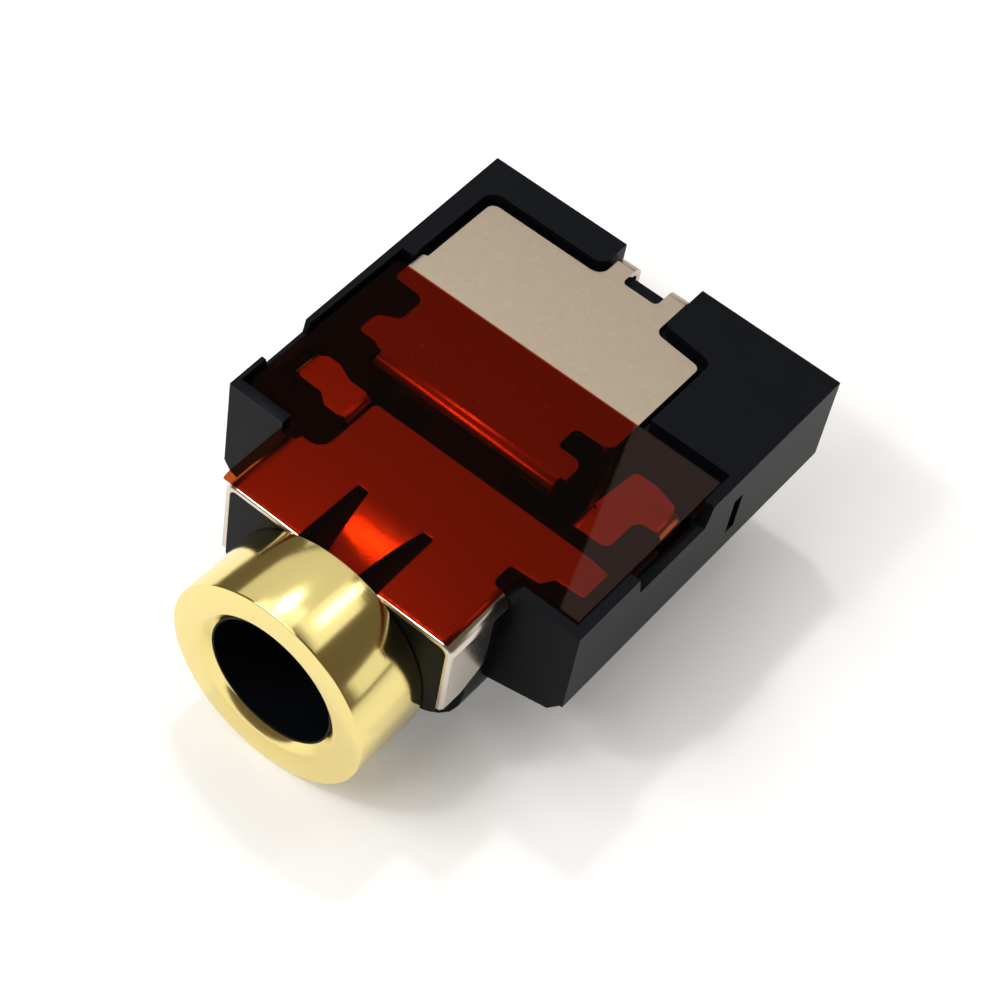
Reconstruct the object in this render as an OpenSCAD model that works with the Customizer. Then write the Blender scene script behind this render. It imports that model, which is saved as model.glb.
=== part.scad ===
// Mid-mount audio jack socket for a 3.5 mm plug, with a gilt bush and film over its contacts.
// Origin on the plug axis at the front face of the bush, X to the right, Y to the rear, Z up.

/* [Plug and bush] */
// Diameter of the bore that guides the plug
plug_bore_d = 3.7; // [3.6:0.05:3.8]
// Outside diameter of the bush
bush_d = 6; // [5.8:0.1:6.2]
// Length of the bush, from its front face to the neck
bush_len = 2.3; // [2:0.1:2.6]
// Diameter of the lead-in at the bush's front face
mouth_d = 4.3; // [4:0.1:4.6]
// Thickness of the bush's front lip
lip_t = 0.2; // [0.15:0.05:0.3]
// Wall of the bush behind its lip
bush_wall = 0.75; // [0.7:0.01:0.8]
// Clearance between pieces that fit one in another
fit_gap = 0.02; // [0.01:0.01:0.04]

/* [Housing] */
// Width of the housing over its wings
body_w = 11.2; // [11:0.1:12]
// Distance from the bush's face to the front of the wings
shoulder_y = 4.5; // [4.4:0.1:4.6]
// Distance from the bush's face to the rear of the housing
total_len = 15.45; // [15.3:0.05:16]
// Height of the contact deck over the plug axis
deck_z = 2.5; // [2.4:0.05:2.7]
// Height of the rim and rear block over the deck
rim_h = 0.4; // [0.3:0.05:0.6]
// Thickness of the rim
rim_t = 0.3; // [0.2:0.05:0.35]
// Width of the neck behind the bush
neck_w = 6.75; // [6.5:0.05:7]
// Depth of the neck's front plate below the plug axis
neck_drop = 0.25; // [0.1:0.05:0.5]
// How far the round part of the neck stands back from the bush's surface
collar_step = 0.3; // [0.2:0.02:0.5]
// Width of the trough below the wings
trough_w = 6.6; // [6.2:0.1:7]
// Depth of the trough below the plug axis
trough_drop = 3.05; // [3:0.05:3.4]
// Radius of the trough's lower corners
trough_r = 2; // [1:0.1:2.2]
// Distance from the bush's face to the front of the trough
trough_y = 3.7; // [3.4:0.1:4.2]
// Front edge of the raised rear block
block_y = 11; // [10.9:0.05:11.2]
// Depth of the bore, measured from the bush's face
bore_depth = 14.4; // [14.2:0.1:14.5]
// How much the bore widens where the springs work
bore_relief = 0.3; // [0.25:0.01:0.32]
// Distance from the bush's face to that wider stretch
relief_y = 5.6; // [5.2:0.1:5.6]
// Thickness of the rib under the front of each wing
rib_t = 0.8; // [0.5:0.05:1.2]
// How much the left side draws in from the rear to the shoulder
left_taper = 0.18; // [0:0.02:0.2]
// How far the left rear corner stands ahead of the right one
left_rear_step = 0.12; // [0:0.02:0.2]

/* [Sheet metal] */
// Thickness of the bracket and the rear plate
sheet_t = 0.2; // [0.15:0.01:0.22]
// Inside radius of their bends
bend_r = 0.2; // [0.1:0.05:0.25]
// Thickness of the spring contacts
spring_t = 0.15; // [0.12:0.01:0.16]
// Inside radius of the spring contacts' bends
spring_bend_r = 0.1; // [0.05:0.05:0.15]
// Height of every solder leg's end over the plug axis
leg_end_z = 0.1; // [0.05:0.05:0.3]

/* [Front bracket] */
// Rear edge of the bracket
bracket_rear_y = 6.7; // [6.5:0.05:6.8]
// Left edge of the bracket behind the shoulder
bracket_left_x = -2.53; // [-2.54:0.01:-2.4]
// Gap between the right ear's end and the rim
ear_gap = 0.42; // [0.3:0.02:0.6]
// Length of the side flanges along the bush's axis
flange_len = 1.65; // [1.4:0.05:1.8]
// Root of the tongue that bears on the bush
tongue_root_y = 4.45; // [4.3:0.05:4.8]
// Width of the tongue at its root
tongue_root_w = 1.72; // [1.6:0.02:2]
// Width of the tongue at its tip
tongue_tip_w = 0.94; // [0.8:0.02:1.2]
// How far the tongue's tip drops
tongue_drop = 0.25; // [0.1:0.01:0.3]
// Width of each slot beside the tongue's root
slot_w = 0.32; // [0.2:0.02:0.4]

/* [Rear plate] */
// Distance from the left side to the rear plate
plate_margin = 0.85; // [0.8:0.01:0.9]
// Right edge of the rear plate
plate_right_x = 2.63; // [2.6:0.01:2.8]
// Front edge of the rear plate
plate_front_y = 7.72; // [7.6:0.02:7.9]
// Left edge of the plate's front lobe
lobe_left_x = -3.7; // [-3.8:0.02:-3.5]
// Right edge of the plate's front lobe
lobe_right_x = 2.38; // [2.2:0.02:2.5]
// Drop of the lip along the plate's front edge
lip_drop = 0.36; // [0.3:0.01:0.42]
// Width of each rear prong
prong_w = 0.54; // [0.4:0.02:0.6]
// Gap between the rear prongs
prong_gap = 1.12; // [1:0.02:1.3]
// Middle of the rear prongs
tail_x = 0; // [-0.1:0.02:0.1]
// Distance from the rear plate's rear edge to the housing's rear face
plate_inset = 1.35; // [1.2:0.05:1.5]
// Clearance round the rear plate in its recess
recess_gap = 0.2; // [0.1:0.02:0.25]

/* [Spring contacts] */
// Front edge of the left contact's pad
left_pad_y = 5.78; // [5.7:0.02:5.8]
// Inner edge of the left contact's pad
left_pad_x = -2.66; // [-2.8:0.01:-2.65]
// Distance from the rim to the left solder leg
left_leg_inset = 0.55; // [0.45:0.01:0.6]
// Front edge of the right contact's pad
right_pad_y = 7.2; // [7.1:0.02:7.3]
// Width of the right contact's pad
right_pad_w = 1.9; // [1.8:0.01:1.95]
// Distance from the rim to the right solder leg
right_leg_inset = 0.18; // [0.16:0.01:0.3]
// Lower edge of both leaves over the plug axis
leaf_z = 0.4; // [0.35:0.05:0.5]
// Height of both leaves
leaf_h = 0.9; // [0.7:0.05:1]
// Distance from the plug axis to the rounded nose of each leaf
nose_x = 1.42; // [1.35:0.01:1.6]
// Place of the left leaf's nose, on the plug's ring
ring_y = 9.75; // [9.4:0.05:10]
// Place of the right leaf's nose, on the plug's tip
tip_y = 12.4; // [12.2:0.05:12.6]
// Room round a spring contact for its travel
travel_gap = 0.3; // [0.25:0.01:0.32]
// Clearance over and under the spring contacts' pads
pad_gap = 0.025; // [0.015:0.005:0.03]

/* [Film] */
// Thickness of the pick-up film
film_t = 0.06; // [0.04:0.01:0.1]
// Front edge of the film's wide part, behind the rim
film_margin = 0.2; // [0.1:0.05:0.3]
// Gap between the film and the rim at its sides
film_side_gap = 0.08; // [0.05:0.01:0.15]
// Gap between the film and the rear block
film_rear_gap = 0.25; // [0.1:0.05:0.3]
// How far the film's tongue overhangs the bracket's left face
film_overhang = 0.1; // [0.06:0.02:0.16]
// Distance from the film's tongue to the bracket's right face
film_inset = 0.18; // [0.1:0.02:0.4]
// Radius of the film's front left corner
film_corner_r = 0.25; // [0.1:0.05:0.3]

/* [Hidden] */
$fn = 72;
arc_steps = 6;
cut = 1;
bore_r = plug_bore_d / 2;
bush_r = bush_d / 2;
nose_r = bush_r - bush_wall - fit_gap;
half_w = body_w / 2;
half_neck = neck_w / 2;
rim_z = deck_z + rim_h;
plate_z = deck_z + sheet_t;
rim_in = half_w - rim_t;
ear_x = rim_in - ear_gap;
plate_left_x = plate_margin - half_w;
neck_y = bush_len;
bend_out = bend_r + sheet_t;
plate_rear_y = total_len - plate_inset;
prong_y = total_len - 0.2;
tab_y = prong_y - 0.35;
tab_slope = 0.4;
tail_half = prong_gap / 2 + prong_w;
recess_left = plate_left_x - recess_gap;
recess_right = plate_right_x + recess_gap;
plate_shoulder_y = plate_rear_y - 0.68;
pad_z = plate_z - pad_gap;
left_hinge = [left_pad_x - spring_t / 2, left_pad_y + 0.52];
right_leg_x = rim_in - right_leg_inset;
right_pad_x = right_leg_x - right_pad_w;
right_hinge = [right_pad_x + spring_t / 2, right_pad_y + 0.4];
left_leg_x = left_leg_inset - rim_in;
leaf_apex = nose_x + spring_t / 2;
left_leg_y = left_pad_y + 0.75;
right_leg_y = right_pad_y + 1.65;
leg_w = 0.8;
pocket_z = leaf_z - 0.1;
pocket_in = nose_x - 0.17;
notch_z = deck_z - 0.3;
slot_end_y = tongue_root_y + 0.03;
slot_outer_x = tongue_root_w / 2 + slot_w;
slot_mouth_x = slot_outer_x + 0.06;
tongue_tilt = asin(tongue_drop / (tongue_root_y - neck_y));

// Outline whose corners are rounded: each point is [x, y, radius]
function rounded(pts) = [
    for (i = [0 : len(pts) - 1])
        each corner(pts[(i + len(pts) - 1) % len(pts)], pts[i], pts[(i + 1) % len(pts)])
];

function flat2(p) = [p[0], p[1]];

function unit(v) = v / norm(v);

function turn(a) = a > 180 ? a - 360 : (a < -180 ? a + 360 : a);

function corner(a, b, c) =
    b[2] == 0 ? [flat2(b)] :
    let (
        u = unit(flat2(a) - flat2(b)),
        v = unit(flat2(c) - flat2(b)),
        half = acos(u * v) / 2,
        centre = flat2(b) + unit(u + v) * b[2] / sin(half),
        p = flat2(b) + u * b[2] / tan(half) - centre,
        q = flat2(b) + v * b[2] / tan(half) - centre,
        start = atan2(p[1], p[0]),
        sweep = turn(atan2(q[1], q[0]) - start)
    )
    [for (k = [0 : arc_steps]) centre + b[2] * [cos(start + sweep * k / arc_steps),
                                                sin(start + sweep * k / arc_steps)]];

// Profile in X and Z drawn out along Y
module along_y(y, length) {
    translate([0, y + length, 0]) rotate([90, 0, 0]) linear_extrude(length) children();
}

// Profile in Y and Z drawn out along X, centred on the plug axis
module along_x(length) {
    rotate([90, 0, 90]) linear_extrude(length, center = true) children();
}

module rod(y, length, r) {
    translate([0, y, 0]) rotate([-90, 0, 0]) cylinder(h = length, r = r);
}

module box(low, high) {
    translate(low) cube(high - low);
}

module mirrored() {
    children();
    mirror([1, 0, 0]) children();
}

// Sheet strip that runs along X with its top at Z 0 and bends down at its end
module bent_strip(run, drop, width, t, r) {
    rotate([90, 0, 0]) linear_extrude(width, center = true) {
        translate([0, -t]) square([run - r - t, t]);
        translate([run - r - t, -r - t]) intersection() {
            difference() {
                circle(r + t);
                circle(r);
            }
            square(r + t);
        }
        translate([run - t, -drop]) square([t, drop - r - t]);
    }
}

// Strip of even thickness that follows a line of points
module strip(pts, t) {
    for (i = [0 : len(pts) - 2]) {
        run = pts[i + 1] - pts[i];
        translate(pts[i]) rotate(atan2(run[1], run[0])) translate([0, -t / 2]) square([norm(run), t]);
    }
    for (p = pts) translate(p) circle(t / 2, $fn = 24);
}

module neck() {
    along_y(neck_y, shoulder_y - neck_y + rib_t / 2) polygon(rounded([
        [-half_neck, -neck_drop, 0.25],
        [half_neck, -neck_drop, 0.25],
        [half_neck, deck_z, bend_r + 0.05],
        [-half_neck, deck_z, bend_r + 0.05]
    ]));
    intersection() {
        rod(neck_y, trough_y - neck_y + cut, bush_r - collar_step);
        box([-bush_r, 0, -bush_r], [bush_r, shoulder_y, deck_z / 2]);
    }
    rod(lip_t, neck_y - lip_t + cut, nose_r);
}

module trough() {
    along_y(trough_y, total_len - 0.55 - trough_y) polygon(rounded([
        [-trough_w / 2, -trough_drop, trough_r],
        [trough_w / 2, -trough_drop, trough_r],
        [trough_w / 2, cut / 2, 0],
        [-trough_w / 2, cut / 2, 0]
    ]));
}

// Rib under the front of each wing, from the trough to the wing's edge
module wing_rib() {
    along_y(shoulder_y, rib_t) polygon([
        [0, -1], [trough_w / 2, -1], [half_w - 0.4, -0.45], [half_w, 0.1], [0, 0.1]
    ]);
}

module wings() {
    difference() {
        box([-half_w, shoulder_y, 0], [half_w, total_len, rim_z]);
        // deck inside the rim
        box([-rim_in, shoulder_y + rim_t, deck_z], [rim_in, block_y, rim_z + cut]);
        // way in for the bracket
        box([-half_neck - sheet_t - 0.1, shoulder_y - cut, deck_z],
            [half_neck + sheet_t + 0.1, shoulder_y + rim_t + cut, rim_z + cut]);
        wall_notch(-1, left_leg_y + 0.02, 1.7, deck_z);
        wall_notch(1, right_leg_y - 0.45, 3.05, notch_z);
        rear_recess();
        side_slot();
    }
}

// Lowered stretch of the rim beside a solder leg, with sloping ends and its floor at Z low
module wall_notch(side, y, length, low) {
    slope = (rim_z - low) / 4;
    translate([side * (half_w - rim_t / 2), y, 0]) along_x(rim_t + 2 * fit_gap) polygon([
        [-length / 2, rim_z + fit_gap], [-length / 2 + slope, low],
        [length / 2 - slope, low], [length / 2, rim_z + fit_gap]
    ]);
}

// Recess of the rear plate and the slot where its prongs go down
module rear_recess() {
    translate([0, 0, deck_z]) linear_extrude(rim_h + cut) polygon(rounded([
        [recess_left, block_y - cut, 0],
        [recess_right, block_y - cut, 0],
        [recess_right, plate_shoulder_y + recess_gap, 0.3],
        [tail_x + tail_half + recess_gap / 2, plate_shoulder_y + recess_gap * 2, 0.2],
        [tail_x + tail_half + recess_gap / 2, total_len + cut, 0],
        [tail_x - tail_half - recess_gap / 2, total_len + cut, 0],
        [tail_x - tail_half - recess_gap / 2, plate_rear_y + recess_gap, 0.3],
        [recess_left, plate_rear_y + recess_gap, 0.4]
    ]));
    difference() {
        box([tail_x - tail_half - recess_gap / 2, prong_y - bend_out - fit_gap, -cut],
            [tail_x + tail_half + recess_gap / 2, total_len + cut, rim_z + cut]);
        // tab that stays between the prongs, with its upper rear edge sloping off
        translate([tail_x, 0, 0]) along_x(prong_gap - 0.12) polygon([
            [shoulder_y, -2 * cut], [tab_y, -2 * cut], [tab_y, deck_z - tab_slope],
            [tab_y - tab_slope, deck_z], [shoulder_y, deck_z]
        ]);
    }
}

// Narrow upright slot in the right side
module side_slot() {
    box([half_w - 0.8, block_y + 0.08, 0.7], [half_w + cut, block_y + 0.44, 2]);
}

// Bed of the bracket's tongue, sloping down to the bush
module tongue_bed() {
    translate([0, tongue_root_y, deck_z - fit_gap]) rotate([tongue_tilt, 0, 0])
        translate([-slot_outer_x, -tongue_root_y, 0]) cube([2 * slot_outer_x, tongue_root_y, cut]);
}

// What the left side's taper and its shorter rear corner leave out
module left_side() {
    translate([0, 0, -trough_drop]) linear_extrude(trough_drop + rim_z + cut) polygon([
        [-half_w, total_len], [left_taper - half_w, shoulder_y], [left_taper - half_w, shoulder_y - cut],
        [-half_w - cut, shoulder_y - cut], [-half_w - cut, total_len]
    ]);
    box([-half_w - cut, total_len - left_rear_step, -cut], [tail_x, total_len + cut, rim_z + cut]);
}

module left_pocket() {
    box([left_pad_x - spring_t - travel_gap, left_pad_y - 0.13, pocket_z],
        [-pocket_in, ring_y + 1, rim_z]);
    // way down for the solder leg
    box([left_leg_x - travel_gap + 0.05, left_leg_y - leg_w / 2 - travel_gap, -cut],
        [left_leg_x + spring_t + travel_gap - 0.05, left_leg_y + leg_w / 2 + travel_gap, rim_z]);
}

module right_pocket() {
    box([pocket_in, right_pad_y - 0.2, pocket_z],
        [right_pad_x + spring_t + travel_gap, right_pad_y + 3, rim_z]);
    box([pocket_in, right_pad_y + 2.4, pocket_z], [recess_right - 0.11, tip_y + 1.1, deck_z + cut]);
    // way down for the solder leg
    box([right_leg_x - spring_t - travel_gap + 0.05, right_leg_y - leg_w / 2 - travel_gap, -cut],
        [rim_in, right_leg_y + leg_w / 2 + travel_gap, rim_z]);
}

module housing() {
    color("#14171c") difference() {
        union() {
            neck();
            trough();
            mirrored() wing_rib();
            wings();
        }
        rod(0, bore_depth, bore_r);
        rod(relief_y, bore_depth - relief_y, bore_r + bore_relief);
        tongue_bed();
        left_side();
        left_pocket();
        right_pocket();
        // slot for the rear plate's lip
        box([lobe_left_x, plate_front_y - 0.08, plate_z - lip_drop - 0.04],
            [lobe_right_x, plate_front_y + sheet_t + bend_r, rim_z]);
    }
}

// Turned bush with a lead-in, a thin front lip and a counterbore for the nose
module bush() {
    throat_r = bore_r + fit_gap;
    color("#d8b65c") rotate([-90, 0, 0]) rotate_extrude() polygon([
        [mouth_d / 2, 0], [bush_r, 0], [bush_r, bush_len], [nose_r + fit_gap, bush_len],
        [nose_r + fit_gap, lip_t], [throat_r, lip_t]
    ]);
}

function bracket_outline() = [
    [-half_neck - sheet_t + bend_out, neck_y, 0],
    [half_neck + sheet_t - bend_out, neck_y, 0],
    [half_neck + sheet_t - bend_out, shoulder_y - 0.15, 0],
    [half_neck - 0.38, shoulder_y + 0.15, 0.15],
    [half_neck - 0.38, shoulder_y + 0.68, 0.12],
    [half_neck + 0.48, shoulder_y + 0.75, 0.08],
    [half_neck + 0.68, shoulder_y + 1.1, 0.12],
    [ear_x, shoulder_y + 1.15, 0.08],
    [ear_x, bracket_rear_y - 0.08, 0.08],
    [ear_x - 0.6, bracket_rear_y, 0],
    [bracket_left_x, bracket_rear_y, 0.15],
    [bracket_left_x, shoulder_y + 0.12, 0.4],
    [-half_neck - sheet_t + bend_out, shoulder_y + 0.16, 0]
];

module front_bracket() {
    bend_len = shoulder_y - fit_gap - neck_y;
    color("#b9b2a6") difference() {
        union() {
            difference() {
                translate([0, 0, deck_z]) linear_extrude(sheet_t) polygon(rounded(bracket_outline()));
                tongue_slots();
            }
            tongue();
            // side flanges, whose bends run on past them along the neck to the shoulder
            mirrored() neck_fold(flange_len, plate_z - leg_end_z);
            mirrored() neck_fold(bend_len, bend_out + sheet_t / 2);
        }
        flange_corner();
    }
}

// Sheet folded down over the right edge of the neck
module neck_fold(length, drop) {
    flat = 0.2;
    translate([half_neck - bend_out - flat, neck_y + length / 2, plate_z])
        bent_strip(bend_out + sheet_t + flat, drop, length, sheet_t, bend_r);
}

// Tapered opening round the tongue
module tongue_slots() {
    translate([0, 0, deck_z - cut]) linear_extrude(3 * cut) difference() {
        polygon([
            [-slot_mouth_x, neck_y - cut], [slot_mouth_x, neck_y - cut],
            [slot_outer_x, slot_end_y], [-slot_outer_x, slot_end_y]
        ]);
        translate([-tongue_root_w / 2, tongue_root_y]) square([tongue_root_w, cut]);
    }
}

// Tapered tongue that curves down from its root to the bush
module tongue() {
    reach = tongue_root_y - neck_y - 2 * fit_gap;
    curve_r = (reach * reach + tongue_drop * tongue_drop) / (2 * tongue_drop);
    intersection() {
        along_x(body_w) translate([tongue_root_y, deck_z - curve_r]) difference() {
            circle(curve_r + sheet_t, $fn = 180);
            circle(curve_r, $fn = 180);
        }
        translate([0, tongue_root_y, deck_z - cut]) linear_extrude(2 * cut) polygon([
            [-tongue_tip_w / 2, -reach], [tongue_tip_w / 2, -reach],
            [tongue_root_w / 2, 0], [-tongue_root_w / 2, 0]
        ]);
    }
}

// Sloping lower rear corner of the side flanges
module flange_corner() {
    rear = neck_y + flange_len;
    along_x(2 * body_w) polygon([
        [rear - 0.9, leg_end_z - cut], [rear + cut, leg_end_z - cut], [rear + cut, leg_end_z + 2],
        [rear, leg_end_z + 1.2], [rear - 0.1, leg_end_z + 0.4], [rear - 0.9, leg_end_z]
    ]);
}

function plate_outline() = [
    [lobe_left_x, plate_front_y + bend_out, 0],
    [lobe_left_x - 0.06, plate_front_y + 0.5, 0.1],
    [plate_left_x + 0.35, plate_front_y + 0.52, 0.12],
    [plate_left_x + 0.35, plate_front_y + 1.2, 0.25],
    [plate_left_x + 0.9, plate_front_y + 1.55, 0.2],
    [plate_left_x + 0.9, block_y - 0.8, 0.3],
    [plate_left_x - 0.15, block_y - 0.76, 0.15],
    [plate_left_x - 0.15, block_y + 0.35, 0.05],
    [plate_left_x, block_y + 0.42, 0.05],
    [plate_left_x, plate_rear_y, 0.25],
    [tail_x - tail_half, plate_rear_y, 0.35],
    [tail_x - tail_half, prong_y - bend_out, 0],
    [tail_x - prong_gap / 2, prong_y - bend_out, 0],
    [tail_x - prong_gap / 2, plate_rear_y + 0.22, 0.15],
    [tail_x + prong_gap / 2, plate_rear_y + 0.22, 0.15],
    [tail_x + prong_gap / 2, prong_y - bend_out, 0],
    [tail_x + tail_half, prong_y - bend_out, 0],
    [tail_x + tail_half, plate_shoulder_y + 0.15, 0.25],
    [plate_right_x, plate_shoulder_y, 0.2],
    [plate_right_x, block_y - 1.36, 0.3],
    [lobe_right_x - 0.83, block_y - 1.38, 0.2],
    [lobe_right_x - 0.83, plate_front_y + 1.13, 0.15],
    [lobe_right_x, plate_front_y + 1.13, 0.3],
    [lobe_right_x, plate_front_y + bend_out, 0]
];

module rear_plate() {
    lip_w = lobe_right_x - lobe_left_x - 2 * fit_gap - 0.3;
    color("#b5ab9b") union() {
        translate([0, 0, deck_z]) linear_extrude(sheet_t) polygon(rounded(plate_outline()));
        // front lip
        translate([(lobe_left_x + lobe_right_x) / 2, plate_front_y + bend_out + 0.1, plate_z])
            rotate([0, 0, -90]) bent_strip(bend_out + 0.1, lip_drop, lip_w, sheet_t, bend_r);
        // rear prongs
        for (side = [-1, 1]) translate([tail_x + side * (prong_gap + prong_w) / 2, prong_y - 0.6, plate_z])
            rotate([0, 0, 90]) bent_strip(0.6, plate_z - leg_end_z, prong_w, sheet_t, bend_r);
    }
}

function left_pad_outline() = [
    [left_leg_x + spring_bend_r + spring_t, left_pad_y + 0.27, 0],
    [left_leg_x + spring_bend_r + spring_t, left_pad_y + 1.27, 0.2],
    [left_leg_x + 0.75, left_pad_y + 1.27, 0.1],
    [left_pad_x - 0.8, left_pad_y + 1.04, 0.1],
    [left_pad_x - spring_bend_r - spring_t, left_pad_y + 1.04, 0],
    [left_pad_x - spring_bend_r - spring_t, left_pad_y, 0],
    [left_pad_x - 0.8, left_pad_y, 0.2],
    [left_pad_x - 1.1, left_pad_y + 0.27, 0.2]
];

// Contact for the plug's ring: pad, solder leg and sprung leaf in one strip
module left_contact() {
    inner_w = 0.96;
    color("#c2b8a8") union() {
        translate([0, 0, pad_z - spring_t]) linear_extrude(spring_t) polygon(rounded(left_pad_outline()));
        translate([left_leg_x + 0.5, left_leg_y, pad_z]) rotate([0, 0, 180])
            bent_strip(0.5, pad_z - leg_end_z, leg_w, spring_t, spring_bend_r);
        translate([left_pad_x - 0.5, left_pad_y + 0.52, pad_z])
            bent_strip(0.5, pad_z - leaf_z, inner_w, spring_t, spring_bend_r);
        translate([0, 0, leaf_z]) linear_extrude(leaf_h) strip([
            left_hinge, left_hinge + [0, 1.7], [-leaf_apex, ring_y], [-leaf_apex - 0.6, ring_y + 0.75]
        ], spring_t);
    }
}

function right_pad_outline() = [
    [right_pad_x + spring_bend_r + spring_t, right_pad_y, 0],
    [right_leg_x - 0.74, right_pad_y, 0.25],
    [right_leg_x - 0.74, right_pad_y + 1.22, 0.3],
    [right_leg_x - spring_bend_r - spring_t, right_pad_y + 1.22, 0],
    [right_leg_x - spring_bend_r - spring_t, right_pad_y + 2.2, 0.2],
    [right_leg_x - 1, right_pad_y + 2.4, 0.3],
    [right_pad_x + 0.25, right_pad_y + 2.4, 0.2],
    [right_pad_x + 0.1, right_pad_y + 0.9, 0],
    [right_pad_x + spring_bend_r + spring_t, right_pad_y + 0.8, 0]
];

// Contact for the plug's tip: pad, solder leg and sprung leaf in one strip
module right_contact() {
    color("#c2b8a8") union() {
        translate([0, 0, pad_z - spring_t]) linear_extrude(spring_t) polygon(rounded(right_pad_outline()));
        translate([right_leg_x - 0.5, right_leg_y, pad_z])
            bent_strip(0.5, pad_z - leg_end_z, leg_w, spring_t, spring_bend_r);
        translate([right_pad_x + 0.5, right_pad_y + 0.4, pad_z]) rotate([0, 0, 180])
            bent_strip(0.5, pad_z - leaf_z, leg_w, spring_t, spring_bend_r);
        translate([0, 0, leaf_z]) linear_extrude(leaf_h) strip([
            right_hinge, [recess_right - 0.48, tip_y - 2], [leaf_apex, tip_y], [leaf_apex + 0.5, tip_y + 0.7]
        ], spring_t);
    }
}

// Die-cut film: a wide part over the deck, and a tongue over the bracket that passes between the rims
module pickup_film() {
    side = rim_in - film_side_gap;
    front = shoulder_y + rim_t + film_margin;
    pass_left = -half_neck - sheet_t;
    tongue_left = pass_left - film_overhang;
    tongue_right = half_neck + sheet_t - film_inset;
    color("#7d1d0a") translate([0, 0, plate_z]) linear_extrude(film_t) polygon(rounded([
        [tongue_left, neck_y, film_corner_r],
        [tongue_right, neck_y, 0],
        [tongue_right, front, 0],
        [side, front, 0.05],
        [side, block_y - film_rear_gap, 0.05],
        [-side, block_y - film_rear_gap, 0.05],
        [-side, front, 0.3],
        [pass_left, front, 0],
        [pass_left, shoulder_y - fit_gap, 0],
        [tongue_left, shoulder_y - fit_gap, 0]
    ]));
}

housing();
bush();
front_bracket();
rear_plate();
left_contact();
right_contact();
pickup_film();
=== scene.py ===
import bpy
import math
from mathutils import Matrix, Vector


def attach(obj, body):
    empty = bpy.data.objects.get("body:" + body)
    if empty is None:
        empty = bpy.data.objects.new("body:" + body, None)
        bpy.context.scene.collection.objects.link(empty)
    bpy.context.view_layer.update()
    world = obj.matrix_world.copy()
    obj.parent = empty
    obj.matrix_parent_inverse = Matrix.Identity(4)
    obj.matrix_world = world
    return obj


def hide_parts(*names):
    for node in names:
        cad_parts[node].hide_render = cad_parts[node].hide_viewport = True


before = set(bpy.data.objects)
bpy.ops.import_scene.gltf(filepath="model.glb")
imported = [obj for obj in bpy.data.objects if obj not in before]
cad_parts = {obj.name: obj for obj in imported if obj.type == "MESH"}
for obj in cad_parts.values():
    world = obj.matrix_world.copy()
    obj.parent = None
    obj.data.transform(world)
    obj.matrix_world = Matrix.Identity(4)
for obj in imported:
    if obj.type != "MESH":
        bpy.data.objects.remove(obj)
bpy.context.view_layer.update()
mm = 0.001
near = 0.001  # places closer than this, in mm, count as one
facing = 0.9  # a face looks along an axis when its normal has this much of it
print("frame loaded", sorted(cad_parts))


# helpers used by every piece
def linear(hexColour):
    parts = [int(hexColour[i:i + 2], 16) / 255 for i in (1, 3, 5)]
    return [c / 12.92 if c <= 0.04045 else ((c + 0.055) / 1.055) ** 2.4 for c in parts] + [1.0]


def addNode(tree, kind, settings=None, links=None):
    node = tree.nodes.new(kind)
    for name, value in (settings or {}).items():
        if isinstance(name, int) or name in node.inputs:
            node.inputs[name].default_value = value
        else:
            setattr(node, name, value)
    for name, source in (links or {}).items():
        tree.links.new(source, node.inputs[name])
    return node


def newMaterial(name):
    mat = bpy.data.materials.new(name)
    mat.use_nodes = True
    mat.node_tree.nodes.clear()
    return mat, mat.node_tree


def pickOnly(piece):
    if bpy.context.mode != "OBJECT":
        bpy.ops.object.mode_set(mode="OBJECT")
    bpy.ops.object.select_all(action="DESELECT")
    piece.select_set(True)
    bpy.context.view_layer.objects.active = piece


def editAll(piece):
    pickOnly(piece)
    bpy.ops.object.mode_set(mode="EDIT")
    bpy.ops.mesh.select_all(action="SELECT")


def selectFaces(piece, test):
    # picks faces by place and normal, in edit mode
    bpy.ops.mesh.select_all(action="DESELECT")
    bpy.ops.mesh.select_mode(type="FACE")
    bpy.ops.object.mode_set(mode="OBJECT")
    for face in piece.data.polygons:
        face.select = bool(test(face.center / mm, face.normal))
    bpy.ops.object.mode_set(mode="EDIT")


def selectEdges(piece, test):
    # picks edges by their two ends, in edit mode
    bpy.ops.mesh.select_all(action="DESELECT")
    bpy.ops.mesh.select_mode(type="EDGE")
    bpy.ops.object.mode_set(mode="OBJECT")
    points = piece.data.vertices
    for edge in piece.data.edges:
        a, b = (points[i].co / mm for i in edge.vertices)
        edge.select = bool(test(a, b))
    bpy.ops.object.mode_set(mode="EDIT")


def selectPoints(piece, test):
    # picks points by place, in edit mode
    bpy.ops.mesh.select_all(action="DESELECT")
    bpy.ops.mesh.select_mode(type="VERT")
    bpy.ops.object.mode_set(mode="OBJECT")
    for point in piece.data.vertices:
        point.select = bool(test(point.co / mm))
    bpy.ops.object.mode_set(mode="EDIT")


def extrudeBy(x, y):
    bpy.ops.mesh.extrude_region_move(TRANSFORM_OT_translate={"value": (x * mm, y * mm, 0)})


edgeShade = {"smoothTo": 40, "flatWeight": 100}
mergeLimit = {"apart": 0.0005, "flat": 0.6}  # mm between doubles, degrees between flat faces


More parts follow.
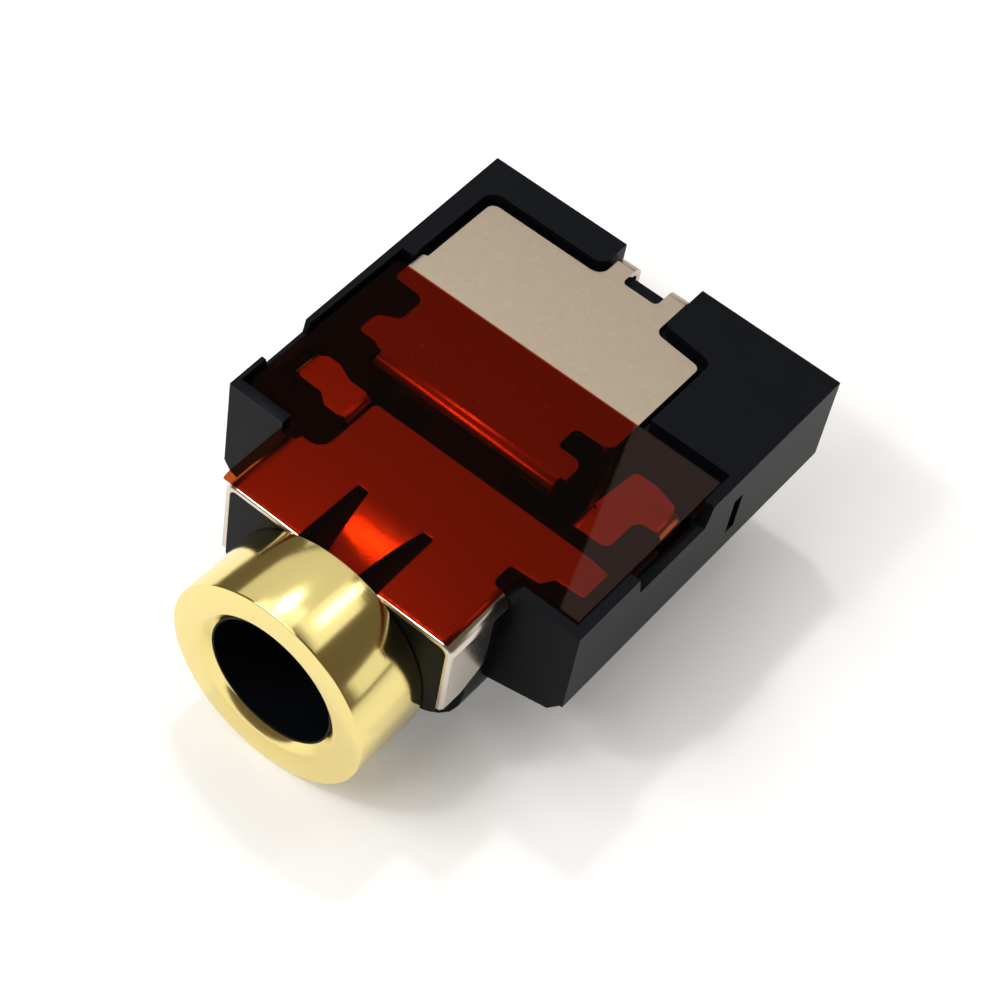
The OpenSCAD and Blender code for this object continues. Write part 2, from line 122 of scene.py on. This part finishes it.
def softenEdges(piece, width, steps, angle):
    pickOnly(piece)
    soft = piece.modifiers.new("softEdges", "BEVEL")
    soft.width = width * mm
    soft.segments = steps
    soft.limit_method = "ANGLE"
    soft.angle_limit = math.radians(angle)
    soft.use_clamp_overlap = True
    soft.miter_outer = "MITER_ARC"
    bpy.ops.object.modifier_apply(modifier=soft.name)
    bpy.ops.object.shade_smooth_by_angle(angle=math.radians(edgeShade["smoothTo"]))
    even = piece.modifiers.new("evenFlats", "WEIGHTED_NORMAL")  # keeps flat faces flat to the eye
    even.weight = edgeShade["flatWeight"]
    even.keep_sharp = True
    bpy.ops.object.modifier_apply(modifier=even.name)


def solidCopy(node, name):
    # own mesh from the CAD node, with its loose triangles merged and flat faces made whole
    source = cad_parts[node]
    piece = bpy.data.objects.new(name, source.data.copy())
    bpy.context.scene.collection.objects.link(piece)
    editAll(piece)
    bpy.ops.mesh.remove_doubles(threshold=mergeLimit["apart"] * mm)
    bpy.ops.mesh.dissolve_limited(angle_limit=math.radians(mergeLimit["flat"]))
    bpy.ops.object.mode_set(mode="OBJECT")
    return piece


def finishPiece(piece, node, body, mat):
    piece.data.materials.clear()
    piece.data.materials.append(mat)
    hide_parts(node)
    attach(piece, body)


# black LCP, moulded in a spark-eroded tool: near black, with a cool satin sheen that greys at a slant
# its grain is drawn coarser than the real one, so that it shows
plasticLook = {"colour": "#06070a", "pale": "#0b0d11", "roughness": 0.4, "smoother": 0.06, "rougher": 0.08,
               "ior": 1.32, "sheen": 0.16, "sheenTint": "#e4f0ff", "grainMm": 0.07, "mottleMm": 0.9,
               "relief": 0.15, "reliefMm": 0.006}
mouldedPlastic, tree = newMaterial("lcp_moulded_satin")
place = addNode(tree, "ShaderNodeTexCoord")
mottle = addNode(tree, "ShaderNodeTexNoise", {"Scale": 1 / (plasticLook["mottleMm"] * mm), "Detail": 4.0},
                 {"Vector": place.outputs["Object"]})
tone = addNode(tree, "ShaderNodeMix", {"data_type": "RGBA", 6: linear(plasticLook["colour"]),
                                       7: linear(plasticLook["pale"])}, {0: mottle.outputs["Fac"]})
grain = addNode(tree, "ShaderNodeTexNoise", {"Scale": 1 / (plasticLook["grainMm"] * mm), "Detail": 3.0},
                {"Vector": place.outputs["Object"]})
gloss = addNode(tree, "ShaderNodeMapRange", {"To Min": plasticLook["roughness"] - plasticLook["smoother"],
                                             "To Max": plasticLook["roughness"] + plasticLook["rougher"]},
                {"Value": grain.outputs["Fac"]})
relief = addNode(tree, "ShaderNodeBump", {"Strength": plasticLook["relief"],
                                          "Distance": plasticLook["reliefMm"] * mm},
                 {"Height": grain.outputs["Fac"]})
skin = addNode(tree, "ShaderNodeBsdfPrincipled", {"IOR": plasticLook["ior"],
                                                  "Specular IOR Level": plasticLook["sheen"],
                                                  "Specular Tint": linear(plasticLook["sheenTint"])},
               {"Base Color": tone.outputs[2], "Roughness": gloss.outputs[0], "Normal": relief.outputs[0]})
addNode(tree, "ShaderNodeOutputMaterial", None, {"Surface": skin.outputs[0]})

# gold plate on turned brass: mirror gloss with faint rings left by the lathe
goldLook = {"colour": "#eedc92", "roughness": 0.13, "smoother": 0.04, "rougher": 0.05, "ringMm": 0.05,
            "relief": 0.12, "reliefMm": 0.004}
turnedGold, tree = newMaterial("brass_turned_gold_plated")
place = addNode(tree, "ShaderNodeTexCoord")
across = addNode(tree, "ShaderNodeVectorMath", {"operation": "MULTIPLY", 1: (1, 0, 1)},
                 {0: place.outputs["Object"]})
radius = addNode(tree, "ShaderNodeVectorMath", {"operation": "LENGTH"}, {0: across.outputs[0]})
along = addNode(tree, "ShaderNodeSeparateXYZ", None, {0: place.outputs["Object"]})
lathe = addNode(tree, "ShaderNodeMath", {"operation": "ADD"},
                {0: radius.outputs["Value"], 1: along.outputs["Y"]})
rings = addNode(tree, "ShaderNodeTexNoise", {"noise_dimensions": "1D", "Detail": 2.0,
                                             "Scale": 1 / (goldLook["ringMm"] * mm)},
                {"W": lathe.outputs[0]})
gloss = addNode(tree, "ShaderNodeMapRange", {"To Min": goldLook["roughness"] - goldLook["smoother"],
                                             "To Max": goldLook["roughness"] + goldLook["rougher"]},
                {"Value": rings.outputs["Fac"]})
relief = addNode(tree, "ShaderNodeBump", {"Strength": goldLook["relief"],
                                          "Distance": goldLook["reliefMm"] * mm},
                 {"Height": rings.outputs["Fac"]})
skin = addNode(tree, "ShaderNodeBsdfPrincipled",
               {"Base Color": linear(goldLook["colour"]), "Metallic": 1.0},
               {"Roughness": gloss.outputs[0], "Normal": relief.outputs[0]})
addNode(tree, "ShaderNodeOutputMaterial", None, {"Surface": skin.outputs[0]})

sheetGrain = {"spread": 0.03, "relief": 0.015, "reliefMm": 0.004}


def platedSheet(name, look):
    # plated bronze sheet: satin metal with a rolled grain, drawn coarser than real so that it shows
    mat, tree = newMaterial(name)
    place = addNode(tree, "ShaderNodeTexCoord")
    grain = addNode(tree, "ShaderNodeTexNoise", {"Scale": 1 / (look["grainMm"] * mm), "Detail": 4.0},
                    {"Vector": place.outputs["Object"]})
    tone = addNode(tree, "ShaderNodeMix", {"data_type": "RGBA", 6: linear(look["dark"]),
                                           7: linear(look["pale"])}, {0: grain.outputs["Fac"]})
    gloss = addNode(tree, "ShaderNodeMapRange", {"To Min": look["roughness"] - sheetGrain["spread"],
                                                 "To Max": look["roughness"] + sheetGrain["spread"]},
                    {"Value": grain.outputs["Fac"]})
    relief = addNode(tree, "ShaderNodeBump", {"Strength": sheetGrain["relief"],
                                              "Distance": sheetGrain["reliefMm"] * mm},
                     {"Height": grain.outputs["Fac"]})
    skin = addNode(tree, "ShaderNodeBsdfPrincipled", {"Metallic": 1.0},
                   {"Base Color": tone.outputs[2], "Roughness": gloss.outputs[0],
                    "Normal": relief.outputs[0]})
    addNode(tree, "ShaderNodeOutputMaterial", None, {"Surface": skin.outputs[0]})
    return mat


# nickel is a warm dull grey, tin a paler one, and the springs' tin is the brightest
plateLook = {"dark": "#b8aa97", "pale": "#c3b5a2", "roughness": 0.26, "grainMm": 0.12}
bracketLook = {"dark": "#cdc5b8", "pale": "#d8d0c4", "roughness": 0.22, "grainMm": 0.1}
springLook = {"dark": "#ddd4c6", "pale": "#ece4d8", "roughness": 0.24, "grainMm": 0.1}
plateNickel = platedSheet("bronze_stamped_nickel_plated", plateLook)
bracketTin = platedSheet("bronze_folded_tin_plated", bracketLook)
springTin = platedSheet("spring_bronze_tin_plated", springLook)

# polyimide film: clear amber that turns metal deep red and keeps black black, with a thin gloss,
# and a painted reflection over its right side: a pale diffuse veil standing in for light off the lifted
# film
filmLook = {"tint": "#d4905c", "gloss": 0.003, "roughness": 0.03, "paintedSheen": "#d8cdc6", "paintedSheenShare": 0.022,
            "paintedSheenAcross": (0.9396, 0.342, 0), "paintedSheenFrom": 6.03, "paintedSheenTo": 6.12}
amberPolyimide, tree = newMaterial("polyimide_cast_film")
place = addNode(tree, "ShaderNodeTexCoord")
across = addNode(tree, "ShaderNodeVectorMath", {"operation": "DOT_PRODUCT", 1: filmLook["paintedSheenAcross"]},
                 {0: place.outputs["Object"]})
# painted reflection: share of the pale veil, faded in across the film's right side
paintedSheen = addNode(tree, "ShaderNodeMapRange", {"interpolation_type": "SMOOTHSTEP",
                                             "From Min": filmLook["paintedSheenFrom"] * mm,
                                             "From Max": filmLook["paintedSheenTo"] * mm,
                                             "To Max": filmLook["paintedSheenShare"]},
                {"Value": across.outputs["Value"]})
clear = addNode(tree, "ShaderNodeBsdfTransparent", {"Color": linear(filmLook["tint"])})
top = addNode(tree, "ShaderNodeBsdfGlossy", {"Color": (1, 1, 1, 1), "Roughness": filmLook["roughness"]})
skin = addNode(tree, "ShaderNodeMixShader", {"Fac": filmLook["gloss"]},
               {1: clear.outputs[0], 2: top.outputs[0]})
# painted reflection: pale diffuse layer that stands in for the sheen of light off the lifted film
paintedSheenLayer = addNode(tree, "ShaderNodeBsdfDiffuse", {"Color": linear(filmLook["paintedSheen"])})
whole = addNode(tree, "ShaderNodeMixShader", None,
                {0: paintedSheen.outputs[0], 1: skin.outputs[0], 2: paintedSheenLayer.outputs[0]})
addNode(tree, "ShaderNodeOutputMaterial", None, {"Surface": whole.outputs[0]})
print("materials made")

# housing, bracket, plate and contacts: the solids with their edges broken as in the tool or press
housingEdge = {"width": 0.045, "steps": 2, "angle": 35}
housing = solidCopy("housing", "housing_moulding")
softenEdges(housing, **housingEdge)
finishPiece(housing, "housing", "body", mouldedPlastic)

sheetEdge = {"width": 0.03, "steps": 2, "angle": 40}
bracket = solidCopy("front_bracket", "bracket_sheet")
# front edge of the bracket, rolled over by the press along its top, bends and flanges
bracketRoll = {"front": 2.3, "back": 0.11, "depth": 0.07, "bendX": 3.175, "bendZ": 2.3, "bend": 0.4,
               "facets": 0.005}
editAll(bracket)
bpy.ops.mesh.bisect(plane_co=(0, (bracketRoll["front"] + bracketRoll["back"]) * mm, 0), plane_no=(0, 1, 0))
flatTop = bracketRoll["bendZ"] + bracketRoll["bend"] - near
selectPoints(bracket, lambda at: at.y < bracketRoll["front"] + near and at.z > flatTop
             and abs(at.x) < bracketRoll["bendX"] - near)
bpy.ops.transform.translate(value=(0, 0, -bracketRoll["depth"] * mm))
for side in (-1, 1):
    bendAt = Vector((side * bracketRoll["bendX"], bracketRoll["front"], bracketRoll["bendZ"]))
    selectPoints(bracket, lambda at: abs(at.y - bendAt.y) < near and (at.x - bendAt.x) * side > -near
                 and at.z > bendAt.z - near
                 and (at - bendAt).length > bracketRoll["bend"] - bracketRoll["facets"])
    shrink = 1 - bracketRoll["depth"] / bracketRoll["bend"]
    bpy.ops.transform.resize(value=(shrink, 1, shrink), center_override=bendAt * mm)
    selectPoints(bracket, lambda at: abs(at.y - bendAt.y) < near and at.z < bendAt.z - near
                 and (at.x - bendAt.x) * side > bracketRoll["bend"] - near)
    bpy.ops.transform.translate(value=(-side * bracketRoll["depth"] * mm, 0, 0))
bpy.ops.object.mode_set(mode="OBJECT")
softenEdges(bracket, **sheetEdge)
finishPiece(bracket, "front_bracket", "body", bracketTin)

plate = solidCopy("rear_plate", "rear_sheet")
softenEdges(plate, **sheetEdge)
finishPiece(plate, "rear_plate", "body", plateNickel)
for node, body in (("left_contact", "left_spring"), ("right_contact", "right_spring")):
    spring = solidCopy(node, body + "_sheet")
    softenEdges(spring, **sheetEdge)
    finishPiece(spring, node, body, springTin)
print("housing and sheet metal copied")

# bush, turned from a disc: lead-in, lip and counterbore cut in from the front
bushSize = {"outer": 3.0, "mouth": 2.15, "throat": 1.87, "inner": 2.25, "lip": 0.2, "length": 2.3,
            "sides": 160}
bushEdge = {"width": 0.05, "steps": 3, "angle": 25}
bpy.ops.object.select_all(action="DESELECT")
bpy.ops.mesh.primitive_cylinder_add(vertices=bushSize["sides"], radius=bushSize["outer"] * mm,
                                    depth=bushSize["length"] * mm,
                                    location=(0, bushSize["length"] / 2 * mm, 0),
                                    rotation=(math.pi / 2, 0, 0))
bush = bpy.context.object
bush.name = "bush_turning"
bpy.ops.object.transform_apply(location=True, rotation=True, scale=True)


def ringStep(radiusFrom, radiusTo, push):
    # next ring of the turned profile: same face, new radius, moved along the axis
    if push:
        extrudeBy(0, push)
    else:
        bpy.ops.mesh.extrude_region()
    k = radiusTo / radiusFrom
    bpy.ops.transform.resize(value=(k, 1, k), center_override=(0, 0, 0))


editAll(bush)
selectFaces(bush, lambda at, n: n.y < -facing)
ringStep(bushSize["outer"], bushSize["mouth"], 0)
ringStep(bushSize["mouth"], bushSize["throat"], bushSize["lip"])
ringStep(bushSize["throat"], bushSize["inner"], 0)
extrudeBy(0, bushSize["length"] - bushSize["lip"])
bpy.ops.mesh.delete(type="FACE")
selectFaces(bush, lambda at, n: n.y > facing and at.xz.length < 100 * near)  # closed rear end, on the axis
bpy.ops.mesh.delete(type="FACE")
selectEdges(bush, lambda a, b: min(a.y, b.y) > bushSize["length"] - near)
bpy.ops.mesh.bridge_edge_loops()
bpy.ops.mesh.select_all(action="SELECT")
bpy.ops.mesh.remove_doubles(threshold=mergeLimit["apart"] * mm)
bpy.ops.mesh.normals_make_consistent(inside=False)
bpy.ops.object.mode_set(mode="OBJECT")
softenEdges(bush, **bushEdge)
finishPiece(bush, "bush", "body", turnedGold)
print("bush turned", len(bush.data.polygons))

# film, cut from one sheet: wide part over the deck, tongue over the bracket
filmSize = {"low": 2.705, "thick": 0.05, "side": 5.21, "front": 5.0, "rear": 10.75,
            "tongueLeft": -3.67, "passLeft": -3.575, "tongueRight": 3.39, "pass": 4.45,
            "tongueFront": 2.32, "corner": 0.3, "tip": 0.36, "cornerSteps": 6}
lowLeft = Vector((-filmSize["side"], filmSize["front"]))
highRight = Vector((filmSize["side"], filmSize["rear"]))
tipLeft = Vector((filmSize["tongueLeft"], filmSize["tongueFront"]))
middle = (lowLeft + highRight) / 2
bpy.ops.object.select_all(action="DESELECT")
bpy.ops.mesh.primitive_plane_add(size=1, location=(middle.x * mm, middle.y * mm, filmSize["low"] * mm))
film = bpy.context.object
film.name = "amber_film"
film.scale = ((highRight.x - lowLeft.x) * mm, (highRight.y - lowLeft.y) * mm, 1)
bpy.ops.object.transform_apply(location=True, rotation=True, scale=True)
editAll(film)
for cutX in (filmSize["passLeft"], filmSize["tongueRight"]):
    bpy.ops.mesh.select_all(action="SELECT")
    bpy.ops.mesh.bisect(plane_co=(cutX * mm, 0, 0), plane_no=(1, 0, 0))
selectEdges(film, lambda a, b: max(a.y, b.y) < filmSize["front"] + near
            and filmSize["passLeft"] < (a.x + b.x) / 2 < filmSize["tongueRight"])
extrudeBy(0, filmSize["pass"] - filmSize["front"])
extrudeBy(0, filmSize["tongueFront"] - filmSize["pass"])
selectEdges(film, lambda a, b: max(a.y, b.y) < filmSize["pass"] + near
            and max(a.x, b.x) < filmSize["passLeft"] + near)  # left side in front of the rim
extrudeBy(filmSize["tongueLeft"] - filmSize["passLeft"], 0)
for spot, curve in ((lowLeft, filmSize["corner"]), (tipLeft, filmSize["tip"])):
    selectPoints(film, lambda at: (at.xy - spot).length < 10 * near)
    bpy.ops.mesh.bevel(affect="VERTICES", offset=curve * mm, segments=filmSize["cornerSteps"])
bpy.ops.mesh.select_all(action="SELECT")
bpy.ops.mesh.normals_make_consistent(inside=False)
bpy.ops.object.mode_set(mode="OBJECT")
pickOnly(film)
body = film.modifiers.new("filmBody", "SOLIDIFY")
body.thickness = filmSize["thick"] * mm
body.offset = 1
bpy.ops.object.modifier_apply(modifier=body.name)
finishPiece(film, "pickup_film", "body", amberPolyimide)
print("film cut", len(film.data.polygons))

# floor under the trough, pale and plain: matt paper, lifted a little where it is seen
floorLook = {"colour": "#f4f4f4", "level": -3.05, "gap": 0.005, "size": 700, "lift": 0.2}
bpy.ops.object.select_all(action="DESELECT")
bpy.ops.mesh.primitive_plane_add(size=floorLook["size"] * mm,
                                 location=(0, 0, (floorLook["level"] - floorLook["gap"]) * mm))
floor = bpy.context.object
floor.name = "floor"
floorPaint, tree = newMaterial("floor_paper_matt")
rays = addNode(tree, "ShaderNodeLightPath")
seen = addNode(tree, "ShaderNodeMath", {"operation": "MAXIMUM"},
               {0: rays.outputs["Is Camera Ray"], 1: rays.outputs["Is Glossy Ray"]})
seen = addNode(tree, "ShaderNodeMath", {"operation": "MAXIMUM"},
               {0: seen.outputs[0], 1: rays.outputs["Is Transmission Ray"]})
lift = addNode(tree, "ShaderNodeMath", {"operation": "MULTIPLY", 1: floorLook["lift"]},
               {0: seen.outputs[0]})
paper = addNode(tree, "ShaderNodeBsdfDiffuse", {"Color": linear(floorLook["colour"])})
glow = addNode(tree, "ShaderNodeEmission", {"Color": (1, 1, 1, 1)}, {"Strength": lift.outputs[0]})
both = addNode(tree, "ShaderNodeAddShader", None, {0: paper.outputs[0], 1: glow.outputs[0]})
addNode(tree, "ShaderNodeOutputMaterial", None, {"Surface": both.outputs[0]})
floor.data.materials.append(floorPaint)

# studio light: bar, spots and window at the left, ceiling panels over the rear, low cards round the floor
# places and sizes in mm, glow 1 shines like white paper, and what isn't level faces the aim
lampAim = (0, 6, 0)
lampSet = [
    {"name": "keyBar", "at": (-38, -60, 97), "size": (100, 14), "level": False, "glow": 16},
    {"name": "keySpot", "at": (-40, -54, 98), "size": (12, 8), "level": False, "glow": 60},
    {"name": "overheadWindow", "at": (-34, 0, 108), "size": (80, 80), "level": False, "glow": 1.0},
    {"name": "tongueSpot", "at": (-36, 38, 102), "size": (10, 6), "level": False, "glow": 100},
    {"name": "ceilingLeft", "at": (-75, 62, 80), "size": (150, 80), "level": True, "glow": 0.64},
    {"name": "ceilingBright", "at": (22, 45, 80), "size": (45, 50), "level": True, "glow": 1.05},
    {"name": "ceilingStreak", "at": (17, 52, 79), "size": (14, 45), "level": True, "glow": 2.2},
    {"name": "lowFrontCard", "at": (65, -85, 16), "size": (60, 40), "level": False, "glow": 0.8},
    {"name": "lowRightCard", "at": (84, 57, 21), "size": (60, 34), "level": False, "glow": 0.85},
    {"name": "lowRearCard", "at": (-30, 120, 34), "size": (150, 60), "level": False, "glow": 0.7},
]
aim = Vector(lampAim) * mm
for lamp in lampSet:
    spot = Vector(lamp["at"]) * mm
    bpy.ops.object.light_add(type="AREA", location=spot)
    light = bpy.context.object
    light.name = lamp["name"]
    if not lamp["level"]:
        light.rotation_euler = (aim - spot).to_track_quat("-Z", "Y").to_euler()
    light.data.shape = "RECTANGLE"
    light.data.size = lamp["size"][0] * mm
    light.data.size_y = lamp["size"][1] * mm
    light.data.energy = lamp["glow"] * math.pi * light.data.size * light.data.size_y

worldLook = {"sky": 0.15, "tint": "#ffe8c8"}
world = bpy.data.worlds.new("studio")
bpy.context.scene.world = world
world.use_nodes = True
tree = world.node_tree
tree.nodes.clear()
sky = addNode(tree, "ShaderNodeBackground", {"Color": linear(worldLook["tint"]),
                                             "Strength": worldLook["sky"]})
addNode(tree, "ShaderNodeOutputWorld", None, {"Surface": sky.outputs[0]})
print("floor and light set")

# camera where the photograph was taken from
cameraView = {"at": (20.865, -27.867, 53.335), "right": (0.76608, 0.63338, 0.10929),
              "up": (-0.55772, 0.57056, 0.60283), "back": (0.31947, -0.52277, 0.79035),
              "lens": 95.26, "sensor": 36, "shift": (0.0612, -0.0063), "near": 1, "far": 10000}
bpy.ops.object.camera_add()
camera = bpy.context.object
camera.matrix_world = Matrix.Translation(Vector(cameraView["at"]) * mm) @ Matrix(
    (cameraView["right"], cameraView["up"], cameraView["back"])).transposed().to_4x4()
camera.data.sensor_width = cameraView["sensor"]
camera.data.lens = cameraView["lens"]
camera.data.shift_x, camera.data.shift_y = cameraView["shift"]
camera.data.clip_start = cameraView["near"] * mm
camera.data.clip_end = cameraView["far"] * mm
bpy.context.scene.camera = camera

bpy.context.scene.view_settings.view_transform = "Standard"
print("scene ready")
